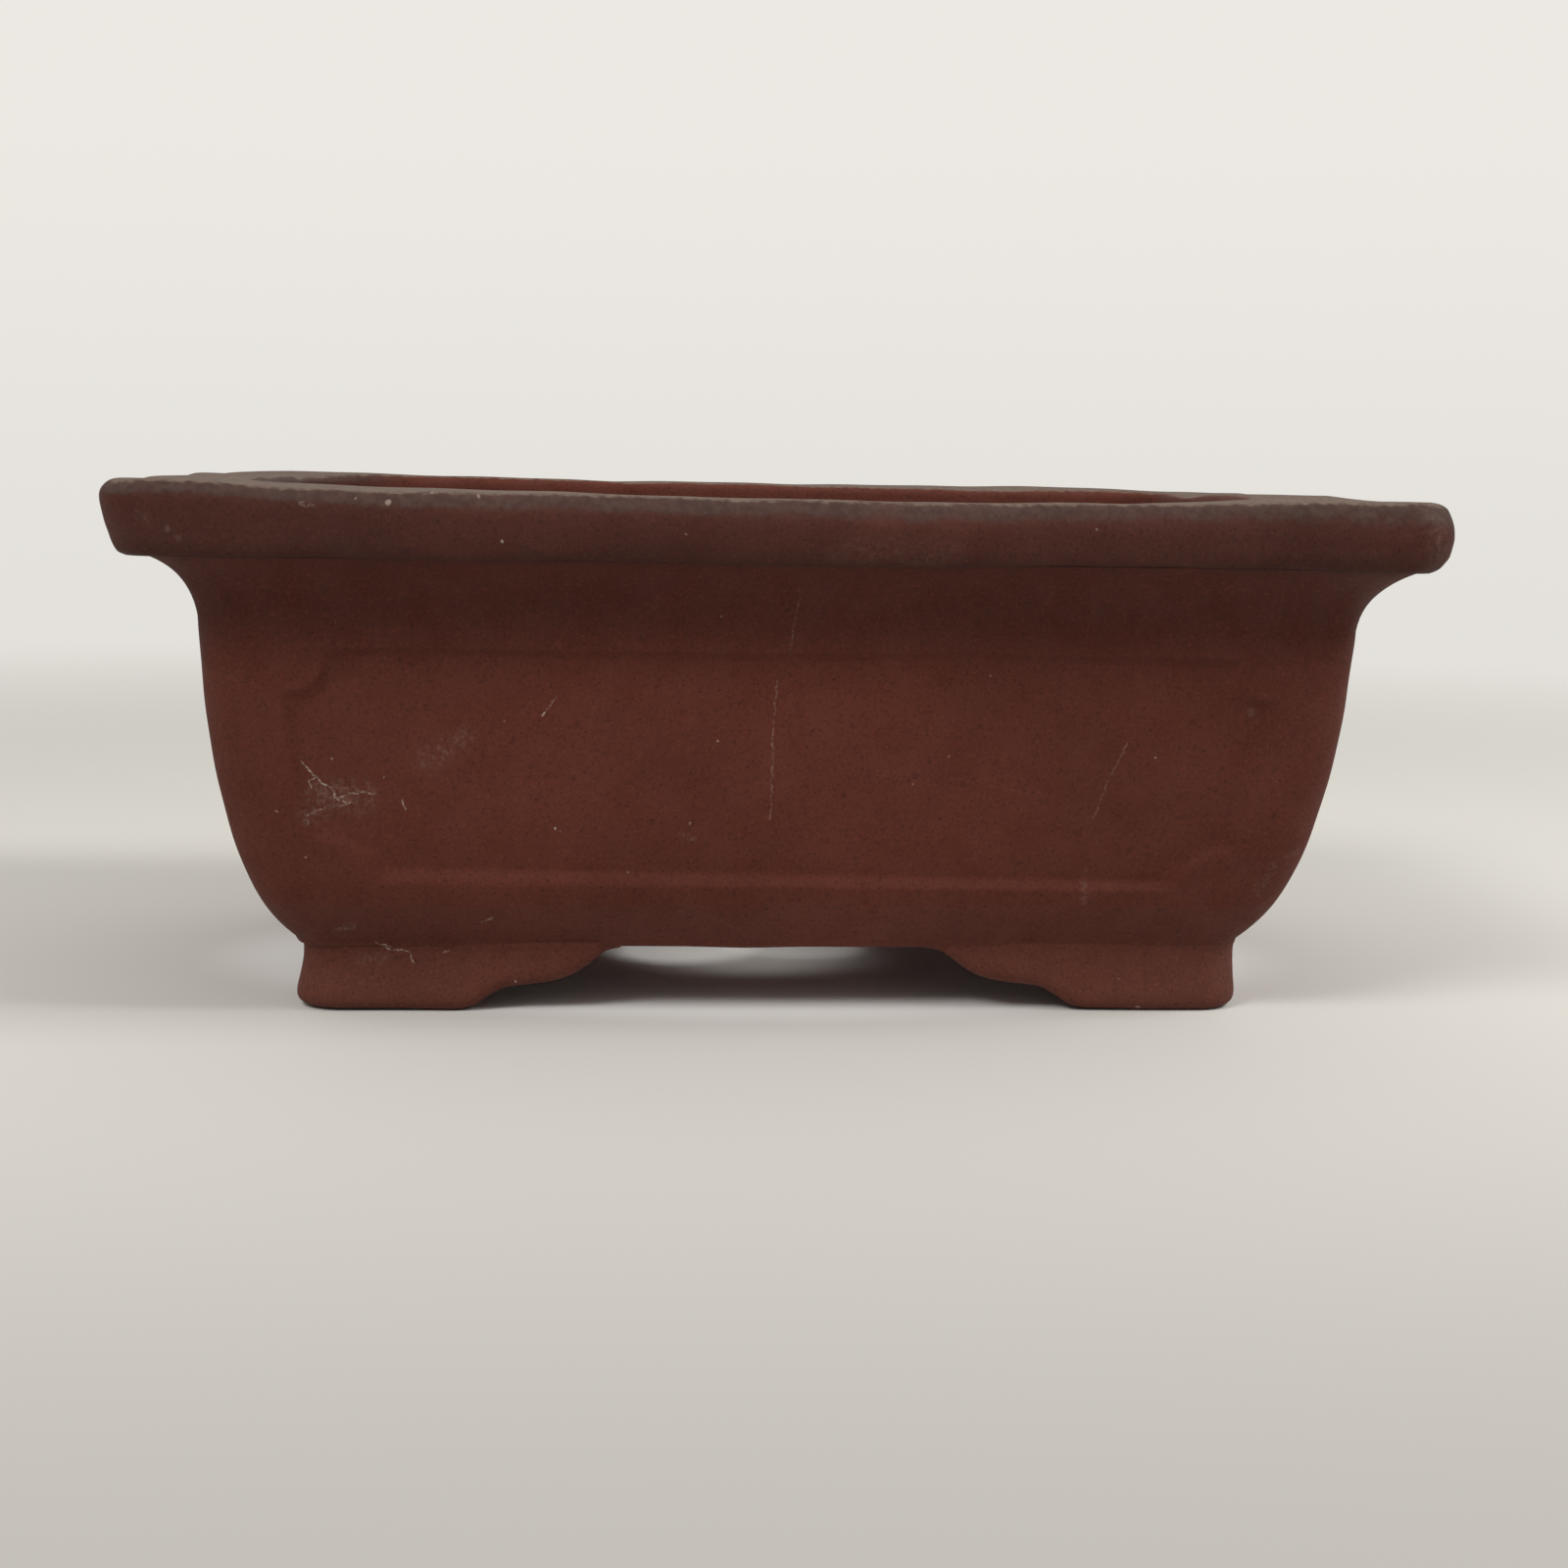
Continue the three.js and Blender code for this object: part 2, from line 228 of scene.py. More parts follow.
def side_stations(half):
    """Stations along one side, from mitre to mitre: (kind, value, end). The value is a share of the corner's
    arc, a distance from the corner, or a share of the stretch between."""
    arc = [("arc", i / ARC_STEPS) for i in range(ARC_STEPS)]
    near = [("near", c) for c in NEAR]
    n_mid = math.ceil(2 * (half - NEAR[-1]) / MID_STEP)
    mid = [("mid", i / n_mid) for i in range(1, n_mid)]
    first = [(k, v, -1) for k, v in arc + near]
    last = [(k, v, 1) for k, v in reversed(arc + near)]
    return first + [(k, v, 0) for k, v in mid] + last


def side_points(stations, half_t, half_n, radius):
    """Points (along the side, outwards) of a rounded rectangle's side at the stations."""
    out = np.empty((len(stations), 2))
    for i, (kind, value, end) in enumerate(stations):
        if kind == "arc":
            angle = math.radians(45) * (1 - value)
            t = half_t - radius + radius * math.sin(angle)
            n = half_n - radius + radius * math.cos(angle)
            out[i] = (end * t, n)
        elif kind == "near":
            out[i] = (end * (half_t - radius - (value - OUTER_RADIUS)), half_n)
        else:
            reach = half_t - radius - (NEAR[-1] - OUTER_RADIUS)
            out[i] = (reach * (2 * value - 1), half_n)
    return out


SIDES = ["front", "right", "back", "left"]
STATIONS = {s: side_stations(HALF_X - 12 if s in ("front", "back") else HALF_Y - 12) for s in SIDES}


def to_world(side, t, n):
    """Plan x and y of a point that is t along a side and n out from the middle."""
    turn = SIDES.index(side)
    return [(t, -n), (n, t), (-t, n), (-n, -t)][turn]


def ring(inset, radius):
    """One closed ring of plan points, each side's last station left to the next side's first."""
    points = []
    for side in SIDES:
        long_side = side in ("front", "back")
        half_t, half_n = (HALF_X, HALF_Y) if long_side else (HALF_Y, HALF_X)
        p = side_points(STATIONS[side], half_t - inset, half_n - inset, radius)[:-1]
        x, y = to_world(side, p[:, 0], p[:, 1])
        points.append(np.stack([x, y], 1))
    return np.vstack(points)


side_starts = np.cumsum([0] + [len(STATIONS[s]) - 1 for s in SIDES])
COLUMNS = int(side_starts[-1])

# ---------------------------------------------------------------- the skin: rows by columns of points
rows, row_part = [], []
first_lip_row = len(floor_outer) + len(wall_outer) - 1
for part, section in SECTION:
    radius = INNER_RADIUS if part == "wall_inner" else OUTER_RADIUS
    for d, z in section:
        if part == "lip":
            inward = smoothstep(np.array(d), 2.0, INNER_INSET)
            radius = float(OUTER_RADIUS * (1 - inward) + INNER_RADIUS * inward)
        rows.append(np.column_stack([ring(d, radius), np.full(COLUMNS, z)]))
        row_part.append(part)


def disc_rows(start, part, path):
    """Rows from a ring in to circles round the drain hole: path holds (kind, value, height), and the value is
    a share of the way or a radius."""
    plan = start[:, :2]
    angle = np.arctan2(plan[:, 1], plan[:, 0])
    unit = np.stack([np.cos(angle), np.sin(angle)], 1)
    for kind, value, z in path:
        edge = unit * (DRAIN_RADIUS + 1.0)
        flat = plan * (1 - value) + edge * value if kind == "share" else unit * value
        rows.append(np.column_stack([flat, np.full(COLUMNS, z)]))
        row_part.append(part)


top_path = [("share", s, FLOOR_TOP_Z) for s in np.linspace(0, 1, 22)[1:]]
edge_path = [
    ("radius", DRAIN_RADIUS + 0.45, FLOOR_TOP_Z - 0.18), ("radius", DRAIN_RADIUS + 0.1, FLOOR_TOP_Z - 0.6),
    ("radius", DRAIN_RADIUS, FLOOR_TOP_Z - 1.4), ("radius", DRAIN_RADIUS, FLOOR_TOP_Z - 2.8),
    ("radius", DRAIN_RADIUS, FLOOR_LOW_Z + 1.4), ("radius", DRAIN_RADIUS + 0.1, FLOOR_LOW_Z + 0.6),
    ("radius", DRAIN_RADIUS + 0.45, FLOOR_LOW_Z + 0.18),
]
disc_rows(rows[-1], "floor_inner", top_path + edge_path)
disc_rows(rows[0], "floor_inner", [("share", s, FLOOR_LOW_Z) for s in np.linspace(1, 0, 22)[:-1]])

skin = np.array(rows)
row_part = np.array(row_part)
ROWS = len(skin)


def grid_normals(p):
    """Unit normals of a grid closed both ways, facing out."""
    right = np.roll(p, -1, 1) - p
    up = np.roll(p, -1, 0) - p
    face = np.cross(right, up)
    total = face + np.roll(face, 1, 0) + np.roll(face, 1, 1) + np.roll(np.roll(face, 1, 0), 1, 1)
    return total / np.maximum(np.linalg.norm(total, axis=2, keepdims=True), 1e-12)


def panel_depth(t, z, half):
    """How deep the window panel is at t along a side and height z; half is the side's half length there."""
    along = t / half
    c = half - np.abs(t) - PANEL_MARGIN - PANEL_MARGIN_SHIFT * along
    above = z - (PANEL_LOW_Z - PANEL_LOW_SHIFT * along)
    below = PANEL_HIGH_Z - z
    side = smoothstep(c, -PANEL_END_SOFT, PANEL_END_SOFT)
    low = smoothstep(above / (PANEL_LOW_SOFT - PANEL_LOW_SOFT_SHIFT * along), -1.0, 1.0)
    high = smoothstep(below, -PANEL_HIGH_SOFT, PANEL_HIGH_SOFT)
    scoop_low = smoothstep(np.hypot(c, above) - PANEL_SCOOP, -PANEL_SCOOP_SOFT, PANEL_SCOOP_SOFT)
    scoop_high = smoothstep(np.hypot(c, below) - PANEL_SCOOP, -PANEL_HIGH_SOFT, PANEL_HIGH_SOFT)
    return PANEL_DEPTH * np.minimum.reduce([side, low, high, scoop_low, scoop_high])


# The lip's section swings from LIP_LEFT to LIP_RIGHT along x. The cove's upper rows follow it, easing out.
COVE_ROWS, COVE_EASE = 7, 1.3
SWING_FROM, SWING_TO = -12.0, -4.0  # the swing sets in between these distances from the lip's edge
normals = grid_normals(skin)
cove_share = np.linspace(0, 1, COVE_ROWS + 2)[1:-1] ** COVE_EASE
cove_swing = lip_swing[0] * cove_share[:, None]
for i, (swing_d, swing_z) in enumerate(np.vstack([cove_swing, lip_swing])):
    row = skin[first_lip_row - 1 - len(cove_swing) + i]
    leftward = -row[:, 0] / HALF_X
    edge = np.abs(row[:, :2]) - (HALF_X, HALF_Y)
    outward = np.sign(row[:, :2]) * smoothstep(edge, SWING_FROM, SWING_TO)
    row[:, :2] -= outward * (swing_d * leftward)[:, None]
    row[:, 2] += swing_z * leftward

for k, side in enumerate(SIDES):
    a, b = side_starts[k], side_starts[k + 1]
    axis = 0 if side in ("front", "back") else 1
    outer = np.where(row_part == "wall_outer")[0]
    block = skin[outer, a:b]
    half = (HALF_X if axis == 0 else HALF_Y) - belly_inset(block[:, :, 2])
    depth = panel_depth(block[:, :, axis], block[:, :, 2], half)
    skin[outer, a:b] -= normals[outer, a:b] * depth[:, :, None]

# Slow hand-made unevenness, as a sum of plane waves with fixed directions: (length, amount) of each.
rng = np.random.default_rng(7)
SWELL = [(46, 0.16), (38, 0.14), (29, 0.1), (21, 0.07), (15, 0.05), (11, 0.035), (8, 0.022)]
WAVES = [(rng.normal(size=3), rng.uniform(0, 2 * math.pi), length, amount) for length, amount in SWELL]
SKIN_OFFSET = -0.25  # keeps the uneven skin inside the CAD model's box


def unevenness(p):
    """How far each point stands out, in millimetres."""
    total = np.zeros(p.shape[:-1])
    for direction, phase, length, amount in WAVES:
        k = direction / np.linalg.norm(direction) * 2 * math.pi / length
        total += amount * np.sin(p @ k + phase)
    return total


# How far the front rim's top stands above (or sags below) its nominal height, along x.
RIM_X = [-75, -68, -60, -50, -30, -8, 5, 15, 28, 40, 50, 57, 67, 75]
RIM_RISE = [0.38, 0.4, -0.08, -0.38, -0.5, -0.64, -0.82, -0.86, -0.62, -0.3, 0.0, 0.15, 0.0, -0.05]
RIM_BLUR = (-4, -2, 0, 2, 4)  # the rise is averaged over these shifts along x
LIFT = 0.32  # how much higher than nominal the middle of the rim stands
TILT, TILT_BACK = 0.18, 0.18  # the left end is this much higher again at the front, and more at the back
LEAN_X, LEAN_Y = 0.23, -0.45  # how far the rim has moved to the right and toward the viewer
FOOT_SPREAD = 0.45  # how far the right end's foot stands out to the right
NECK_SPREAD = 0.3  # and the upper wall above it
LEFT_BUMP = (-62.0, 7.0, 0.3)  # rises of the rim near its ends: place along x, width and height
RIGHT_BUMP = (73.0, 7.0, 0.36)


def rim_bump(x, place, width, height):
    return height * np.exp(-(((x - place) / width) ** 2))


def warp(p):
    """The pot's lean and sag: the left end stands a little taller, and the front rim dips near its middle."""
    q = p.copy()
    x, forward, z = p[..., 0], -p[..., 1], p[..., 2]
    share = np.clip(z / RIM_Z, 0, 1)
    toward_back = np.clip((p[..., 1] + HALF_Y) / (2 * HALF_Y), 0, 1)
    q[..., 2] += share**2 * (LIFT - (TILT + TILT_BACK * toward_back) * x / HALF_X)
    low = 1 - smoothstep(z, 6.0, 18.0)
    neck = smoothstep(z, 24.0, 38.0) * (1 - smoothstep(z, 44.5, 50.0))
    q[..., 0] += LEAN_X * share + FOOT_SPREAD * smoothstep(x, 10.0, 50.0) * low
    q[..., 0] += NECK_SPREAD * smoothstep(x, 40.0, 62.0) * neck
    q[..., 1] += LEAN_Y * share
    front = smoothstep(forward, 20.0, 45.0)
    middle = smoothstep(forward, 9.0, 23.0) * (1 - smoothstep(forward, 36.0, 54.0))
    rise = front * sum(np.interp(x + shift, RIM_X, RIM_RISE) for shift in RIM_BLUR) / len(RIM_BLUR)
    rise += rim_bump(x, *LEFT_BUMP) * smoothstep(forward, -25.0, 15.0)
    rise += rim_bump(x, *RIGHT_BUMP) * middle
    q[..., 2] += smoothstep(z, 53.5, 59.5) * rise
    return q


normals = grid_normals(skin)
skin += normals * (unevenness(skin) + SKIN_OFFSET)[:, :, None]
skin = warp(skin)
normals = grid_normals(skin)

# ---------------------------------------------------------------- meshes


def make_mesh(name, points, faces, loop_normals=None, marks=None):
    """A mesh object from points in millimetres, smooth shaded. It may be given a normal per face corner, and
    named numbers per point for the materials."""
    mesh = bpy.data.meshes.new(name)
    mesh.from_pydata((np.asarray(points) * MM).tolist(), [], faces)
    mesh.polygons.foreach_set("use_smooth", [True] * len(mesh.polygons))
    if loop_normals is not None:
        mesh.normals_split_custom_set(loop_normals)
    for key, values in (marks or {}).items():
        mesh.attributes.new(key, "FLOAT", "POINT").data.foreach_set("value", values)
    mesh.update()
    obj = bpy.data.objects.new(name, mesh)
    bpy.context.scene.collection.objects.link(obj)
    return obj


def face_normal(points, face):
    p = points[list(face)]
    total = np.zeros(3)
    for i in range(1, len(p) - 1):
        total += np.cross(p[i] - p[0], p[i + 1] - p[0])
    return total / max(np.linalg.norm(total), 1e-12)


def cut_piece(name, spans, columns, mitred):
    """A closed piece of the skin: spans are lists of row numbers, joined to each other inside the joints."""
    row_ids = [r for span in spans for r in span]
    where = {r: i for i, r in enumerate(row_ids)}
    cols = list(columns)
    width = len(cols)
    points = skin[np.ix_(row_ids, [c % COLUMNS for c in cols])].reshape(-1, 3)
    point_normals = normals[np.ix_(row_ids, [c % COLUMNS for c in cols])].reshape(-1, 3)
    faces, corner_normals = [], []
    across = range(width - 1) if mitred else range(width)

    def at(row_index, col_index):
        return row_index * width + col_index % width

    for span in spans:
        for r0, r1 in zip(span, span[1:]):
            i, j = where[r0], where[r1]
            for c in across:
                face = (at(i, c), at(i, c + 1), at(j, c + 1), at(j, c))
                faces.append(face)
                corner_normals.extend(point_normals[list(face)])
    for k, span in enumerate(spans):
        i, j = where[span[-1]], where[spans[(k + 1) % len(spans)][0]]
        for c in across:
            face = (at(i, c), at(i, c + 1), at(j, c + 1), at(j, c))
            n = face_normal(points, face)
            faces.append(face)
            corner_normals.extend([n] * 4)
    if mitred:
        start = [at(i, 0) for i in range(len(row_ids))]
        end = [at(i, width - 1) for i in reversed(range(len(row_ids)))]
        for cap in (start, end):
            n = face_normal(points, cap)
            faces.append(cap)
            corner_normals.extend([n] * len(cap))
    inside = np.repeat(row_inside[row_ids], width)
    inside *= 1 - (1 - smoothstep(points[:, 0], -57.0, -45.0)) * smoothstep(points[:, 2], 54.0, 58.0)
    seam = np.repeat(row_seam[row_ids], width)
    return make_mesh(name, points, faces, corner_normals, {"inside": inside, "seam": seam})


def rows_of(*parts):
    return [int(r) for r in np.where(np.isin(row_part, parts))[0]]


row_inside = np.isin(row_part, ["wall_inner", "floor_inner"]).astype(float)
row_inside[rows_of("lip")[-len(lip_inner):]] = 1.0
row_seam = np.zeros(ROWS)  # the darker line where the lip's underside meets the wall
row_seam[first_lip_row - 4:first_lip_row + 5] = (0.2, 0.45, 0.75, 1.0, 1.0, 0.8, 0.5, 0.25, 0.1)
last_floor_row = rows_of("floor_outer")[-1]
last_wall_row = rows_of("wall_outer")[-1]
last_lip_row = rows_of("lip")[-1]
last_inner_row = rows_of("wall_inner")[-1]
wall_spans = [[last_floor_row] + rows_of("wall_outer"), [last_lip_row] + rows_of("wall_inner")]
lip_spans = [[last_wall_row] + rows_of("lip")]
floor_spans = [[last_inner_row] + rows_of("floor_inner") + rows_of("floor_outer")]

pieces = {}
pieces["floor_slab"] = cut_piece("clay_floor_slab", floor_spans, range(COLUMNS), False)
for k, side in enumerate(SIDES):
    span = range(int(side_starts[k]), int(side_starts[k + 1]) + 1)
    pieces[f"{side}_wall"] = cut_piece(f"clay_{side}_wall", wall_spans, span, True)
    pieces[f"{side}_lip"] = cut_piece(f"clay_{side}_lip", lip_spans, span, True)


# ---------------------------------------------------------------- the feet
# The arch's lower edge on a long side: (distance from the corner, height).
SCALLOP = [
    (18.6, 0.0), (20.4, 0.4), (21.6, 1.2), (22.9, 2.05), (24.1, 2.6), (25.6, 2.8), (28.0, 3.05), (30.2, 3.45),
    (32.2, 4.25), (34.0, 5.55), (35.3, 6.7), (36.4, 7.17), (37.8, 7.38),
]
SIDE_SOLE, SIDE_SHRINK = 12.8, 0.7  # a short side's arch starts here and is this much shorter
SOLE_ROUND = 1.9
LEFT_WAIST = 0.35  # how far the left feet are pinched in under the slab
FOOT_RISE = 1.1  # how far the foot's outer face is smeared up over the slab's lower edge
ARM_SINK = 0.9  # how far an arm's thin end is set back under the slab's edge,
SINK_FROM, SINK_TO = 6.2, 7.35  # where its lower edge is between these heights
FOOT_LOOP = 12  # points round the strip: 8 up the outer face, 2 smeared on, 2 down the inner face
FOOT_VOXEL = 0.25
FOOT_SMOOTHING = 9
FOOT_SWELL, FOOT_SWELL_SCALE, FOOT_OFFSET = 0.6, 1.3, -0.1  # the feet's share of the unevenness


def foot(name, sx, sy):
    """An L-shaped foot: a flared strip carried round the corner, its lower edge following the scallop."""
    top = FLOOR_LOW_Z + 0.1
    half_x = HALF_X - BASE_INSET - FOOT_SET_BACK
    half_y = HALF_Y - BASE_INSET - FOOT_SET_BACK
    arm_x = spline(SCALLOP, 3)
    arm_y = arm_x.copy()
    arm_y[:, 0] = SIDE_SOLE + (arm_x[:, 0] - SCALLOP[0][0]) * SIDE_SHRINK
    inner_r, outer_r = 1.5, OUTER_RADIUS
    path = []  # outer point, inner point, outward direction, height of the lower edge
    for c, h in reversed(arm_x):
        path.append(((half_x - c, half_y), (half_x - c, half_y - FOOT_THICKNESS), (0, 1), h))
    for c in np.linspace(17.6, FOOT_THICKNESS + inner_r, 7):
        path.append(((half_x - c, half_y), (half_x - c, half_y - FOOT_THICKNESS), (0, 1), 0))
    for i in range(13):
        a = math.radians(90 * (1 - i / 12))
        u = (math.cos(a), math.sin(a))
        o = (half_x - outer_r + outer_r * u[0], half_y - outer_r + outer_r * u[1])
        ic = (half_x - FOOT_THICKNESS - inner_r, half_y - FOOT_THICKNESS - inner_r)
        path.append((o, (ic[0] + inner_r * u[0], ic[1] + inner_r * u[1]), u, 0))
    for c in np.linspace(FOOT_THICKNESS + inner_r, 12.2, 3):
        path.append(((half_x, half_y - c), (half_x - FOOT_THICKNESS, half_y - c), (1, 0), 0))
    for c, h in arm_y:
        path.append(((half_x, half_y - c), (half_x - FOOT_THICKNESS, half_y - c), (1, 0), h))
    points = []
    for o, i, u, h in path:
        height = max(top - h, 0.05)
        round_r = min(SOLE_ROUND, height)
        turn = np.radians([8, 25, 45, 65, 90])
        outer = [(-round_r * (1 - math.sin(a)), round_r * (1 - math.cos(a))) for a in turn]
        outer += [(0.0, round_r + (height - round_r) * k) for k in (0.33, 0.67, 1.0)]
        sink = ARM_SINK * float(smoothstep(np.array(h), SINK_FROM, SINK_TO))
        for back, up in outer:
            z = h + up
            out = back + FOOT_FLARE * (1 - min(z / top, 1)) ** 2.0 - sink
            points.append((o[0] + u[0] * out, o[1] + u[1] * out, z))
        for out, rise in ((0.45 - sink, 1 - 0.7 * sink), (-1.6, 0.7 - 0.5 * sink)):
            points.append((o[0] + u[0] * out, o[1] + u[1] * out, top + FOOT_RISE * rise))
        points.append((i[0], i[1], top))
        points.append((i[0], i[1], h))
    faces = []
    loop = FOOT_LOOP
    for k in range(len(path) - 1):
        for j in range(loop):
            a, b = k * loop + j, k * loop + (j + 1) % loop
            faces.append((a, b, b + loop, a + loop))
    faces.append(tuple(reversed(range(loop))))
    faces.append(tuple((len(path) - 1) * loop + j for j in range(loop)))
    points = np.array(points) * (sx, sy, 1)
    if sx * sy < 0:
        faces = [tuple(reversed(f)) for f in faces]
    rough = make_mesh(name + "_rough", points, faces)
    remesh = rough.modifiers.new("even", "REMESH")
    remesh.mode = "VOXEL"
    remesh.voxel_size = FOOT_VOXEL * MM
    soften = rough.modifiers.new("soften", "SMOOTH")
    soften.factor = 0.5
    soften.iterations = FOOT_SMOOTHING
    graph = bpy.context.evaluated_depsgraph_get()
    shaped = rough.evaluated_get(graph).to_mesh()
    n = len(shaped.vertices)
    co = np.empty(n * 3)
    no = np.empty(n * 3)
    shaped.vertices.foreach_get("co", co)
    shaped.vertex_normals.foreach_get("vector", no)
    co, no = co.reshape(-1, 3) / MM, no.reshape(-1, 3)
    polygons = [tuple(p.vertices) for p in shaped.polygons]
    rough.evaluated_get(graph).to_mesh_clear()
    bpy.data.objects.remove(rough)
    co += no * (unevenness(co * FOOT_SWELL_SCALE) + FOOT_OFFSET)[:, None] * FOOT_SWELL
    co = warp(co)
    co[:, 0] += LEFT_WAIST * smoothstep(-co[:, 0], 46.0, 53.0) * smoothstep(co[:, 2], 1.0, 6.5)
    low = co[:, 2].min()
    co[:, 2] -= low * (1 - np.clip(co[:, 2] / top, 0, 1))
    co[:, 2] = np.maximum(co[:, 2], 0.0)
    return make_mesh(name, co, polygons)


for name, sx, sy in [
    ("front_left_foot", -1, -1), ("front_right_foot", 1, -1),
    ("back_left_foot", -1, 1), ("back_right_foot", 1, 1),
]:
    pieces[name] = foot("clay_" + name, sx, sy)

# ---------------------------------------------------------------- clay materials


class Nodes:
    """A short way to wire shader nodes."""

    def __init__(self, owner, keep=False):
        owner.use_nodes = True
        self.tree = owner.node_tree
        if not keep:
            self.tree.nodes.clear()

    def add(self, kind, **settings):
        node = self.tree.nodes.new(kind)
        for key, value in settings.items():
            setattr(node, key, value)
        return node

    def link(self, source, target):
        self.tree.links.new(source, target)

    def feed(self, socket, value):
        if isinstance(value, bpy.types.NodeSocket):
            self.link(value, socket)
        elif socket.type == "RGBA" and len(value) == 3:
            socket.default_value = (*value, 1.0)
        else:
            socket.default_value = value

    def math(self, operation, a, b=0.0, clamp=False):
        node = self.add("ShaderNodeMath", operation=operation, use_clamp=clamp)
        self.feed(node.inputs[0], a)
        self.feed(node.inputs[1], b)
        return node.outputs[0]

    def vector(self, operation, a, b=None, scale=None):
        node = self.add("ShaderNodeVectorMath", operation=operation)
        self.feed(node.inputs[0], a)
        if b is not None:
            self.feed(node.inputs[1], b)
        if scale is not None:
            self.feed(node.inputs["Scale"], scale)
        return node.outputs["Value" if operation in ("DOT_PRODUCT", "LENGTH") else "Vector"]

    def ramp(self, value, low, high, out_low=0.0, out_high=1.0):
        node = self.add("ShaderNodeMapRange", interpolation_type="SMOOTHSTEP", clamp=True)
        self.feed(node.inputs["Value"], value)
        node.inputs["From Min"].default_value = low
        node.inputs["From Max"].default_value = high
        node.inputs["To Min"].default_value = out_low
        node.inputs["To Max"].default_value = out_high
        return node.outputs["Result"]

    def noise(self, vector, scale, detail=2.0, rough=0.5):
        node = self.add("ShaderNodeTexNoise")
        self.feed(node.inputs["Vector"], vector)
        node.inputs["Scale"].default_value = scale
        node.inputs["Detail"].default_value = detail
        node.inputs["Roughness"].default_value = rough
        return node.outputs["Fac"]

    def mix(self, amount, a, b):
        node = self.add("ShaderNodeMix", data_type="RGBA")
        self.feed(node.inputs["Factor"], amount)
        self.feed(node.inputs["A"], a)
        self.feed(node.inputs["B"], b)
        return node.outputs["Result"]


LIP_SHADE_AMOUNT = 0.55  # how much darker and browner the clay is under the lip: painted shade of the lip, with a browner tone of the clay

def speck(x, z, reach, strength):
    """A mark that starts and ends at one point."""
    return (x, z, x, z, reach, strength)


# Lime scuffs, dusty threads and pale specks on the front face, in millimetres: from (x, z) to (x, z), half
# width, and strength.
WALL_MARKS = [
    (-54.1, 30.3, -53.7, 29.6, 0.11, 0.9), (-53.7, 29.6, -52.5, 28.3, 0.11, 1.0),
    (-52.5, 28.3, -51.6, 27.4, 0.12, 1.0), (-51.6, 27.4, -50.8, 27.0, 0.12, 1.0),
    (-52.5, 28.3, -53.5, 28.0, 0.09, 0.7), (-53.5, 28.0, -53.2, 27.1, 0.09, 0.7),
    (-50.8, 27.0, -50.5, 25.9, 0.15, 0.8), (-50.5, 25.9, -48.9, 25.4, 0.15, 0.7),
    (-50.5, 25.9, -47.5, 26.8, 0.16, 0.6), (-47.5, 26.8, -46.2, 26.5, 0.16, 0.6),
    (-53.8, 24.0, -52.4, 24.5, 0.15, 0.6), (-52.4, 24.5, -48.9, 25.5, 0.15, 0.45),
    (-52.2, 26.3, -47.5, 26.1, 2.0, 0.17), (-53.8, 23.9, -51.3, 24.4, 1.1, 0.14),
    (-53.8, 23.5, -53.5, 22.9, 0.17, 0.5), (-43.1, 25.7, -42.8, 24.7, 0.13, 0.8),
    speck(-51.0, 30.5, 0.15, 0.4), speck(-45.1, 28.4, 0.18, 0.3), speck(-57.0, 24.4, 0.18, 0.35),
    (-40.3, 30.5, -36.0, 33.1, 1.6, 0.11), (-27.4, 35.6, -27.1, 36.0, 0.13, 0.9),
    (-27.1, 36.0, -25.9, 37.9, 0.12, 0.4), speck(-25.8, 22.7, 0.2, 0.9), speck(-25.3, 22.3, 0.13, 0.5),
    (-11.5, 21.8, -10.2, 21.4, 0.6, 0.1), speck(-10.4, 23.3, 0.18, 0.4),
    (-1.0, 39.8, -1.3, 32.5, 0.15, 0.22), (-1.3, 32.5, -1.3, 23.9, 0.15, 0.17),
    (1.2, 50.5, 0.3, 42.9, 0.15, 0.12), (36.1, 24.1, 37.5, 28.2, 0.14, 0.15),
    (37.5, 28.2, 39.5, 32.9, 0.14, 0.14), speck(42.9, 31.4, 0.16, 0.6), speck(53.7, 36.8, 0.6, 0.07),
    (56.5, 15.5, 57.9, 18.4, 0.8, 0.08), (57.9, 18.4, 60.4, 20.3, 0.8, 0.07),
    (35.8, 17.5, 35.9, 13.9, 0.45, 0.13), speck(-31.6, 35.1, 0.13, 0.3), speck(-7.4, 47.2, 0.18, 0.35),
    speck(-17.6, 17.3, 0.18, 0.3), speck(14.8, 28.0, 0.15, 0.3), speck(23.3, 40.6, 0.15, 0.35),
]
LIP_MARKS = [
    (-53.2, 59.2, -52.0, 59.05, 0.36, 0.25), speck(-44.0, 59.4, 0.33, 0.5), speck(-31.9, 55.5, 0.26, 0.8),
    speck(-47.4, 59.7, 0.18, 0.4), (-70.3, 57.8, -69.4, 57.1, 0.55, 0.12), speck(-67.3, 56.3, 0.5, 0.1),
    speck(-66.2, 55.2, 0.45, 0.06), (5.5, 55.1, 16.9, 54.7, 1.8, 0.05), (8.4, 54.6, 12.2, 53.9, 0.6, 0.06),
    (70.9, 59.6, 72.0, 55.4, 1.4, 0.1), speck(-39.5, 60.6, 0.25, 0.4), speck(-34.3, 60.3, 0.25, 0.4),
    speck(-12.1, 56.5, 0.18, 0.3), speck(33.1, 57.7, 0.18, 0.35),
]
FLOOR_MARKS = [
    (-50.7, 10.0, -48.7, 10.5, 0.45, 0.2), (-34.4, 11.1, -33.0, 11.6, 0.16, 0.3),
    (-46.5, 8.2, -44.7, 7.7, 0.11, 1.0),
]
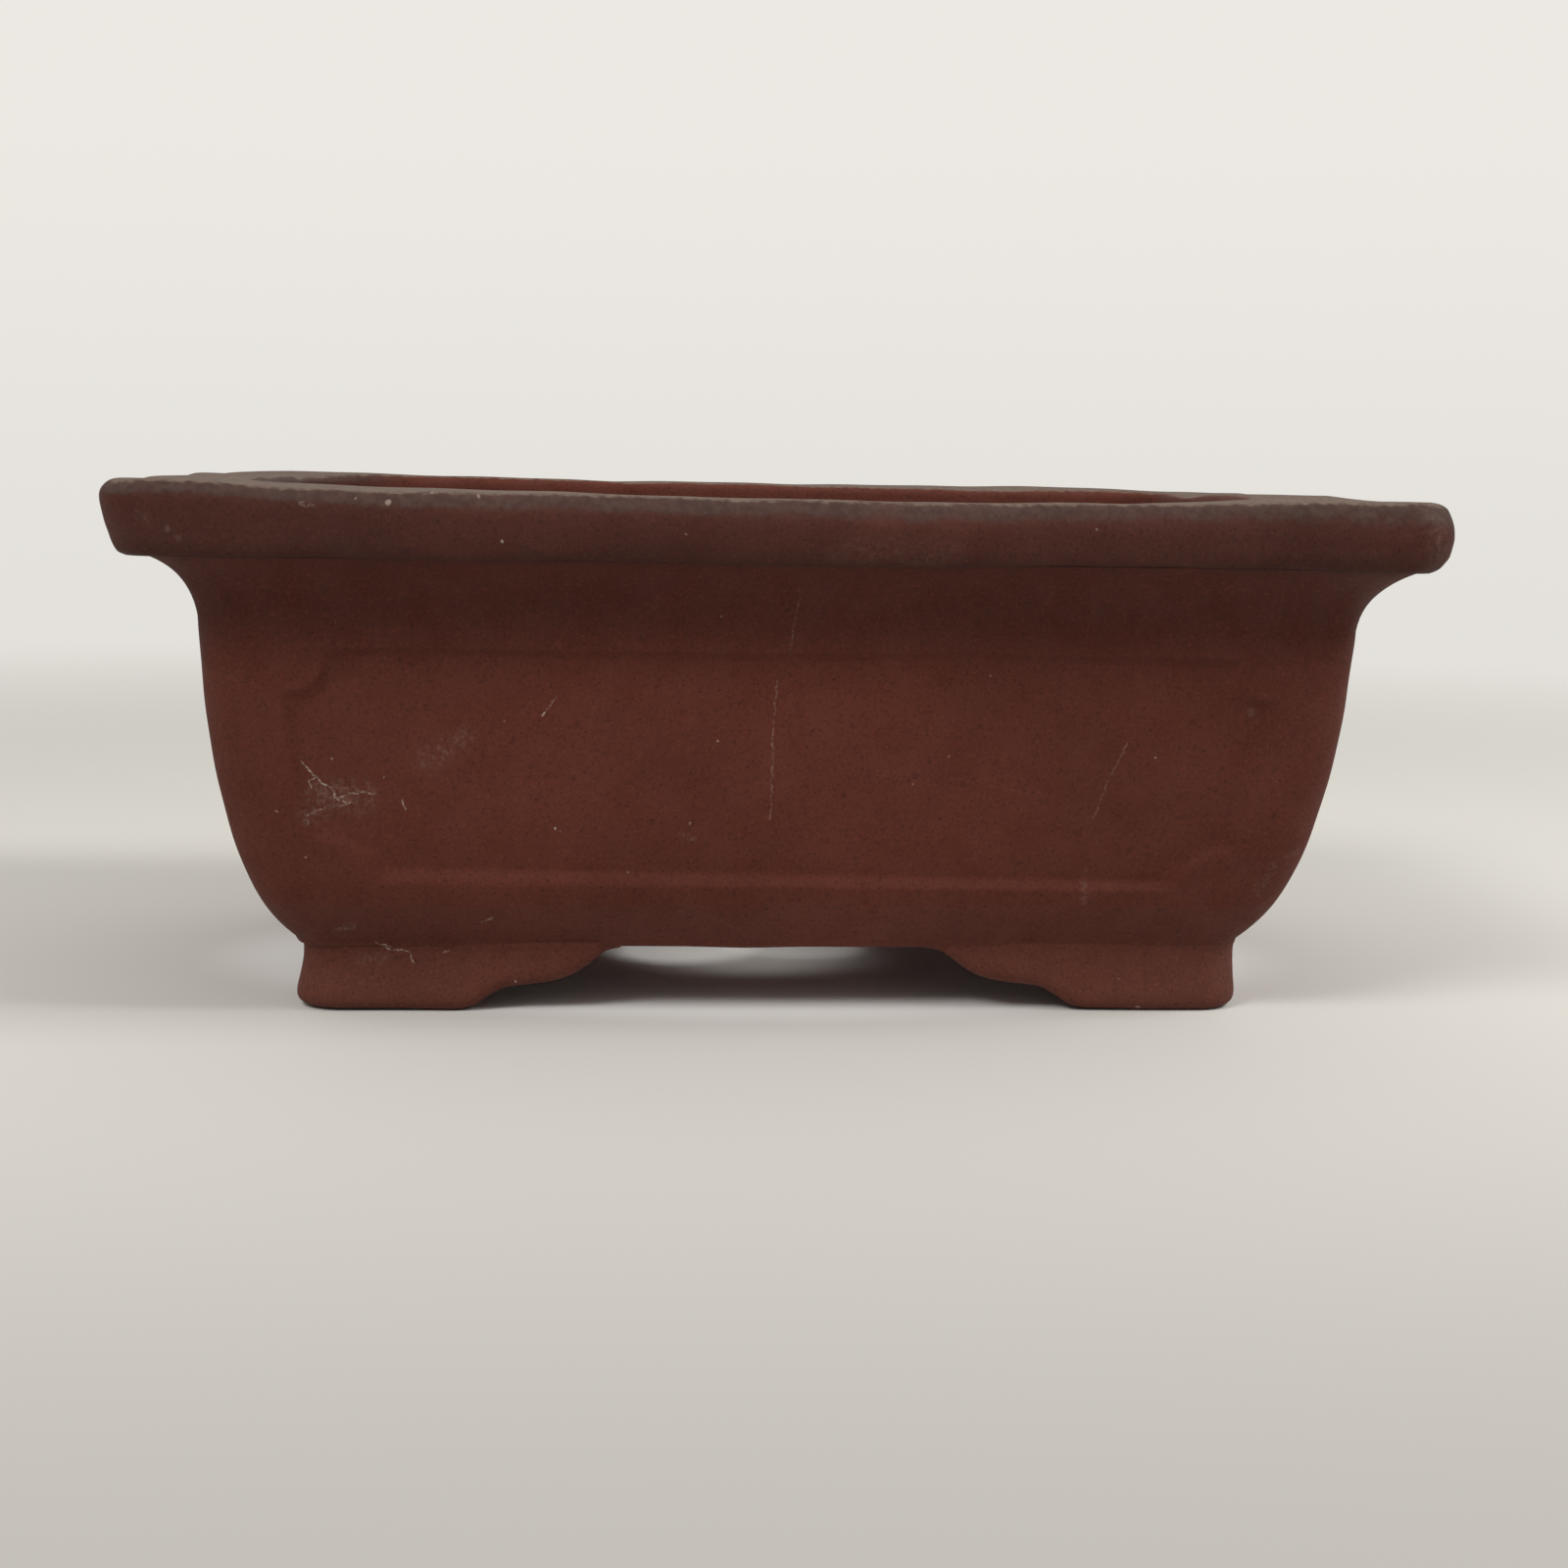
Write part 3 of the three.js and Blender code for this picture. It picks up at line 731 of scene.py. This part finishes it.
FOOT_MARKS = [
    (-46.5, 7.9, -44.7, 7.3, 0.11, 1.0), (-44.7, 7.3, -42.6, 7.1, 0.11, 1.0),
    (-42.6, 7.1, -41.9, 5.8, 0.11, 1.0), (-38.6, 6.9, -37.9, 7.1, 0.09, 0.5), speck(-30.3, 3.5, 0.14, 0.9),
    (-48.0, 6.2, -45.5, 6.4, 0.8, 0.1), speck(41.2, 3.9, 0.13, 0.6), (43.5, 0.4, 43.8, 0.4, 0.14, 0.7),
]
LIME = (0.46, 0.36, 0.30, 1.0)
WIDE_MARK = 0.42  # millimetres: from this half width on, a mark is a hazy patch and not a thread
MARK_WOBBLE = 0.0009  # metres that a thread strays from its straight line
WOBBLE_SCALE = 700.0


def stroke_masks(n, place, marks):
    """How strongly the marks cover each point of the front face."""
    wobble = n.add("ShaderNodeTexNoise")
    n.link(place, wobble.inputs["Vector"])
    wobble.inputs["Scale"].default_value = WOBBLE_SCALE
    centred = n.vector("SUBTRACT", wobble.outputs["Color"], (0.5, 0.5, 0.5))
    bent = n.vector("ADD", place, n.vector("SCALE", centred, scale=MARK_WOBBLE))
    flat = n.vector("MULTIPLY", bent, (1.0, 0.0, 1.0))
    breaks = n.noise(place, 1500.0, 4.0, 0.75)
    thin = n.ramp(n.noise(place, 2600.0, 3.0, 0.7), 0.42, 0.60, 0.12, 1.0)
    patchy = n.ramp(breaks, 0.44, 0.66, 0.08, 1.0)
    total = 0.0
    for x0, z0, x1, z1, reach, strength in marks:
        start = (x0 * MM, 0.0, z0 * MM)
        along = ((x1 - x0) * MM, 0.0, (z1 - z0) * MM)
        away = n.vector("SUBTRACT", flat, start)
        square = along[0] ** 2 + along[2] ** 2
        if square > 0:
            unit = tuple(a / square for a in along)
            share = n.math("MULTIPLY", n.vector("DOT_PRODUCT", away, unit), 1.0, clamp=True)
            away = n.vector("SUBTRACT", away, n.vector("SCALE", along, scale=share))
        distance = n.vector("LENGTH", away)
        wide = reach >= WIDE_MARK
        full, edge = (0.0, 1.5) if wide and square > 0 else (0.3, 1.15)
        mask = n.ramp(distance, reach * MM * edge, reach * MM * full, 0.0, strength)
        if square > 0:
            mask = n.math("MULTIPLY", mask, patchy if wide else thin)
        total = mask if total == 0.0 else n.math("MAXIMUM", total, mask)
    side = n.add("ShaderNodeSeparateXYZ")
    n.link(place, side.inputs[0])
    facing = n.add("ShaderNodeSeparateXYZ")
    n.link(n.add("ShaderNodeNewGeometry").outputs["Normal"], facing.inputs[0])
    near_front = n.ramp(side.outputs["Y"], -0.025, -0.030)
    at_front = n.math("MULTIPLY", near_front, n.ramp(facing.outputs["Y"], -0.1, -0.35))
    return n.math("MULTIPLY", total, at_front)


# The clay's other colours, and where the band of painted shade under the lip lies, in metres of height.
LIP_SHADE_COLOUR = (0.052, 0.0125, 0.0085)
BAND_FROM, BAND_FULL, BAND_FADE, BAND_END = 0.0375, 0.0485, 0.0536, 0.0552
MOTTLE_TINT = (0.86, 0.97, 1.04)
SEAM_DARK = (0.036, 0.0135, 0.0105)
INSIDE_CLAY = (0.125, 0.030, 0.017)
BEVEL_PAINTED_HIGHLIGHT_AND_DUST = (0.053, 0.031, 0.0255), (0.076, 0.047, 0.0385)
TOP_PAINTED_HIGHLIGHT_AND_DUST = (0.125, 0.086, 0.065), (0.180, 0.128, 0.099)
FLECK = (0.40, 0.27, 0.20)


def tint(colour, share):
    return tuple(c * share for c in colour)


def clay(name, body, bevel, top, marks):
    """Unglazed fired clay: sandy grain, slow mottling, dust and a painted highlight on what faces up, lime
    marks and pale flecks.
    """
    material = bpy.data.materials.new(name)
    n = Nodes(material)
    place = n.add("ShaderNodeTexCoord").outputs["Object"]
    shader = n.add("ShaderNodeBsdfPrincipled")
    shader.inputs["Specular IOR Level"].default_value = 0.3
    output = n.add("ShaderNodeOutputMaterial")
    n.link(shader.outputs[0], output.inputs["Surface"])
    position = n.add("ShaderNodeSeparateXYZ")
    n.link(place, position.inputs[0])

    slow = n.noise(place, 38.0, 3.0, 0.6)
    mottle = n.noise(place, 210.0, 4.0, 0.65)
    sand = n.noise(place, 1000.0, 2.0, 0.6)
    grain = n.noise(place, 2600.0, 3.0, 0.7)
    colour = n.mix(n.ramp(slow, 0.36, 0.64), tint(body, 0.91), tint(body, 1.09))
    mottled = tuple(c * share for c, share in zip(body, MOTTLE_TINT))
    colour = n.mix(n.ramp(mottle, 0.35, 0.7, 0.0, 0.30), colour, mottled)
    # Painted shade under the lip: the clay is darker and browner in a band where the lip's shadow falls.
    height = n.math("ADD", position.outputs["Z"], n.math("MULTIPLY", n.math("SUBTRACT", slow, 0.5), 0.007))
    band = n.math("MULTIPLY", n.ramp(height, BAND_FROM, BAND_FULL), n.ramp(height, BAND_END, BAND_FADE))
    colour = n.mix(n.math("MULTIPLY", band, LIP_SHADE_AMOUNT), colour, LIP_SHADE_COLOUR)
    # Both ends are a little darker than the middle. The right end is darker again, and that is painted shade:
    # it holds down the right softbox's light on that end.
    outward = n.math("ABSOLUTE", position.outputs["X"])
    colour = n.mix(n.ramp(outward, 0.008, 0.052, 0.0, 0.22), colour, tint(body, 0.45))
    colour = n.mix(n.ramp(position.outputs["X"], 0.010, 0.060, 0.0, 0.12), colour, tint(body, 0.45))
    seam = n.add("ShaderNodeAttribute", attribute_name="seam").outputs["Fac"]
    colour = n.mix(n.math("MULTIPLY", seam, n.ramp(mottle, 0.3, 0.65, 0.25, 0.6)), colour, SEAM_DARK)
    inside = n.add("ShaderNodeAttribute", attribute_name="inside").outputs["Fac"]
    colour = n.mix(n.math("MULTIPLY", inside, 0.75), colour, INSIDE_CLAY)

    colour = n.mix(n.ramp(grain, 0.54, 0.72, 0.0, 0.40), colour, tint(body, 1.8))
    colour = n.mix(n.ramp(grain, 0.46, 0.28, 0.0, 0.80), colour, tint(body, 0.32))
    colour = n.mix(n.ramp(sand, 0.42, 0.24, 0.0, 0.40), colour, tint(body, 0.45))

    split = n.add("ShaderNodeSeparateXYZ")
    n.link(n.add("ShaderNodeNewGeometry").outputs["Normal"], split.inputs[0])
    ragged = n.math("ADD", n.math("MULTIPLY", mottle, 0.55), n.math("MULTIPLY", sand, 0.45))
    up = n.math("ADD", split.outputs["Z"], n.math("MULTIPLY", n.math("SUBTRACT", ragged, 0.5), 0.75))
    patchy = n.ramp(mottle, 0.30, 0.66, 0.62, 1.0)
    outside = n.math("SUBTRACT", 1.0, inside)
    # The pale grey on bevels that face up is partly dust and partly a painted highlight of the lip's rounded
    # edge.
    bevel_highlight_and_dust = n.math("MULTIPLY", n.math("MULTIPLY", n.ramp(up, 0.06, 0.44, 0.0, bevel), patchy), outside)
    colour = n.mix(bevel_highlight_and_dust, colour, n.mix(n.ramp(sand, 0.35, 0.65), *BEVEL_PAINTED_HIGHLIGHT_AND_DUST))
    # The pale tan on flat tops is partly dust and partly a painted highlight where the rim top catches the
    # light.
    top_highlight_and_dust = n.mix(n.ramp(sand, 0.35, 0.65), *TOP_PAINTED_HIGHLIGHT_AND_DUST)
    colour = n.mix(n.math("MULTIPLY", n.ramp(up, 0.78, 0.96, 0.0, top), patchy), colour, top_highlight_and_dust)

    flecks = n.add("ShaderNodeTexVoronoi")
    n.link(place, flecks.inputs["Vector"])
    flecks.inputs["Scale"].default_value = 150.0
    rare = n.add("ShaderNodeSeparateXYZ")
    n.link(flecks.outputs["Color"], rare.inputs[0])
    spot = n.ramp(flecks.outputs["Distance"], 0.030, 0.016)
    fleck = n.math("MULTIPLY", spot, n.ramp(rare.outputs["X"], 0.80, 0.86))
    colour = n.mix(n.math("MULTIPLY", fleck, 0.55), colour, FLECK)
    heights = [(grain, 0.5, 0.00012), (sand, 0.35, 0.0002), (mottle, 0.35, 0.0005)]
    if marks:
        lime = stroke_masks(n, place, marks)
        colour = n.mix(lime, colour, LIME)
        heights.append((lime, 0.4, 0.00015))
    n.link(colour, shader.inputs["Base Color"])
    n.link(n.ramp(mottle, 0.3, 0.7, 0.74, 0.90), shader.inputs["Roughness"])

    bump = None
    for source, strength, distance in heights:
        node = n.add("ShaderNodeBump")
        node.inputs["Strength"].default_value = strength
        node.inputs["Distance"].default_value = distance
        n.link(source, node.inputs["Height"])
        if bump:
            n.link(bump, node.inputs["Normal"])
        bump = node.outputs[0]
    n.link(bump, shader.inputs["Normal"])
    return material


# The clay of each slot: body colour, dust and painted highlight on bevels, dust and painted highlight on flat
# tops, and its marks on the front.
BODIES = {
    "floor_clay": ((0.108, 0.0275, 0.0168), 0.2, 0.3, FLOOR_MARKS),
    "wall_clay": ((0.1125, 0.0250, 0.0139), 0.1, 0.3, WALL_MARKS),
    "lip_clay": ((0.079, 0.0213, 0.0138), 0.85, 0.85, LIP_MARKS),
    # The feet's body colour is paler than the walls': painted light, standing for the floor's bounce on the
    # feet.
    "foot_clay": ((0.125, 0.0343, 0.0207), 0.15, 0.3, FOOT_MARKS),
}
SLOT = {"slab": "floor_clay", "wall": "wall_clay", "lip": "lip_clay", "foot": "foot_clay"}
PLAIN = {slot: clay(f"{slot}_look", *body[:3], []) for slot, body in BODIES.items()}
# A front piece's marks are shared out among a few materials, so that none is too long for the renderer.
STRIPS = [-200.0, -49.7, -42.0, -12.0, 200.0]
STRIP_MARGIN = 1.6
marked = {}


def dress(piece, slot, at_front):
    """Gives a piece its clay, and the marks where it has some."""
    if not at_front:
        piece.data.materials.append(PLAIN[slot])
        return
    centre = np.empty(len(piece.data.polygons) * 3)
    piece.data.polygons.foreach_get("center", centre)
    x = centre.reshape(-1, 3)[:, 0] / MM
    index = np.zeros(len(x), int)
    for k, (low, high) in enumerate(zip(STRIPS, STRIPS[1:])):
        marks = [m for m in BODIES[slot][3]
                 if min(m[0], m[2]) - STRIP_MARGIN < high and max(m[0], m[2]) + STRIP_MARGIN > low]
        if marks and (slot, k) not in marked:
            marked[slot, k] = clay(f"{slot}_look_{k + 1}", *BODIES[slot][:3], marks)
        piece.data.materials.append(marked.get((slot, k), PLAIN[slot]))
        index[(x >= low) & (x < high)] = k
    piece.data.polygons.foreach_set("material_index", index)


for node, piece in pieces.items():
    slot = SLOT[node.rsplit("_", 1)[1]]
    dress(piece, slot, node.startswith("front") or node == "floor_slab")
    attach(piece, "root")
    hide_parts(node)

# ---------------------------------------------------------------- floor, light and camera
FLOOR_REACH = 2.5
floor_mesh = bpy.data.meshes.new("studio_floor")
ring_count, ring_points = 40, 96
floor_points = [(0.0, 0.0, 0.0)]
for i in range(1, ring_count + 1):
    r = FLOOR_REACH * (i / ring_count) ** 2
    for j in range(ring_points):
        a = 2 * math.pi * j / ring_points
        floor_points.append((r * math.cos(a), r * math.sin(a), 0.0))
floor_faces = [(0, 1 + j, 1 + (j + 1) % ring_points) for j in range(ring_points)]
for i in range(ring_count - 1):
    for j in range(ring_points):
        a, b = 1 + i * ring_points, 1 + (i + 1) * ring_points
        k = (j + 1) % ring_points
        floor_faces.append((a + j, b + j, b + k, a + k))
floor_mesh.from_pydata(floor_points, [], floor_faces)
studio_floor = bpy.data.objects.new("studio_floor", floor_mesh)
bpy.context.scene.collection.objects.link(studio_floor)

floor_look = bpy.data.materials.new("studio_floor_look")
n = Nodes(floor_look)
paper = n.add("ShaderNodeBsdfPrincipled")
paper.inputs["Roughness"].default_value = 0.9
paper.inputs["Specular IOR Level"].default_value = 0.2
clear = n.add("ShaderNodeBsdfTransparent")
fade = n.add("ShaderNodeMixShader")
where = n.add("ShaderNodeTexCoord").outputs["Object"]
floor_place = n.add("ShaderNodeSeparateXYZ")
n.link(where, floor_place.inputs[0])
# The paper is darker toward the viewer, which is painted shade, and paler under the pot, which is painted
# light that lifts the pot's shadow there; it fades out into the backdrop.
PAPER, PAPER_PAINTED_SHADE_NEAR, PAPER_PAINTED_LIGHT_UNDER_POT = (0.70, 0.69, 0.66), (0.43, 0.42, 0.40), (0.95, 0.95, 0.94)
near = n.ramp(floor_place.outputs["Y"], -0.01, -0.225)
away = n.vector("LENGTH", where)
paper_colour = n.mix(near, PAPER, PAPER_PAINTED_SHADE_NEAR)
sheltered = n.vector("LENGTH", n.vector("MULTIPLY", where, (0.62, 1.0, 0.0)))
paper_colour = n.mix(n.ramp(sheltered, 0.046, 0.034), paper_colour, PAPER_PAINTED_LIGHT_UNDER_POT)
n.link(paper_colour, paper.inputs["Base Color"])
n.link(n.ramp(away, 0.20, 0.62), fade.inputs[0])
n.link(paper.outputs[0], fade.inputs[1])
n.link(clear.outputs[0], fade.inputs[2])
n.link(fade.outputs[0], n.add("ShaderNodeOutputMaterial").inputs["Surface"])
floor_mesh.materials.append(floor_look)

BACKDROP = (0.84, 0.815, 0.77, 1.0)
world = bpy.data.worlds.new("studio")
bpy.context.scene.world = world
# The backdrop behind the pot is bright; the side that the camera looks from is dimmer.
sky = Nodes(world, keep=True)
toward = sky.add("ShaderNodeSeparateXYZ")
sky.link(sky.add("ShaderNodeTexCoord").outputs["Generated"], toward.inputs[0])
brightness = sky.ramp(toward.outputs["Y"], -0.3, 0.85, 0.40, 1.0)
background = world.node_tree.nodes["Background"]
background.inputs["Color"].default_value = BACKDROP
haze = sky.ramp(toward.outputs["Z"], -0.08, 0.14, 0.92, 1.0)
sky.link(sky.math("MULTIPLY", brightness, haze), background.inputs["Strength"])


POT_MIDDLE = (0.0, 0.0, 0.03)
SOFTBOX_SIZE = 0.30
SOFTBOX_COLOUR = (1.0, 0.98, 0.95)


def softbox(name, place, power):
    """A square soft light that looks at the pot."""
    light = bpy.data.lights.new(name, "AREA")
    light.shape = "SQUARE"
    light.size = SOFTBOX_SIZE
    light.energy = power
    light.color = SOFTBOX_COLOUR
    obj = bpy.data.objects.new(name, light)
    obj.location = place
    aim = Vector(POT_MIDDLE) - Vector(place)
    obj.rotation_euler = aim.to_track_quat("-Z", "Y").to_euler()
    bpy.context.scene.collection.objects.link(obj)


softbox("right_softbox", (0.543, -0.215, 0.55), 3.35)
softbox("left_softbox", (-0.36, -0.45, 0.56), 2.68)

CAMERA_PLACE = (-0.02745, -0.34843, 0.06479)
YAW, PITCH, ROLL = (math.radians(angle) for angle in (5.18, 6.88, 1.01))
camera_data = bpy.data.cameras.new("camera")
camera_data.sensor_width = 36.0
camera_data.lens = 61.9
camera_data.clip_start = 0.01
camera = bpy.data.objects.new("camera", camera_data)
look = Matrix.Rotation(-YAW, 4, "Z") @ Matrix.Rotation(math.radians(90) - PITCH, 4, "X")
camera.matrix_world = Matrix.Translation(CAMERA_PLACE) @ look @ Matrix.Rotation(ROLL, 4, "Z")
bpy.context.scene.collection.objects.link(camera)
bpy.context.scene.camera = camera
bpy.context.scene.view_settings.view_transform = "Standard"
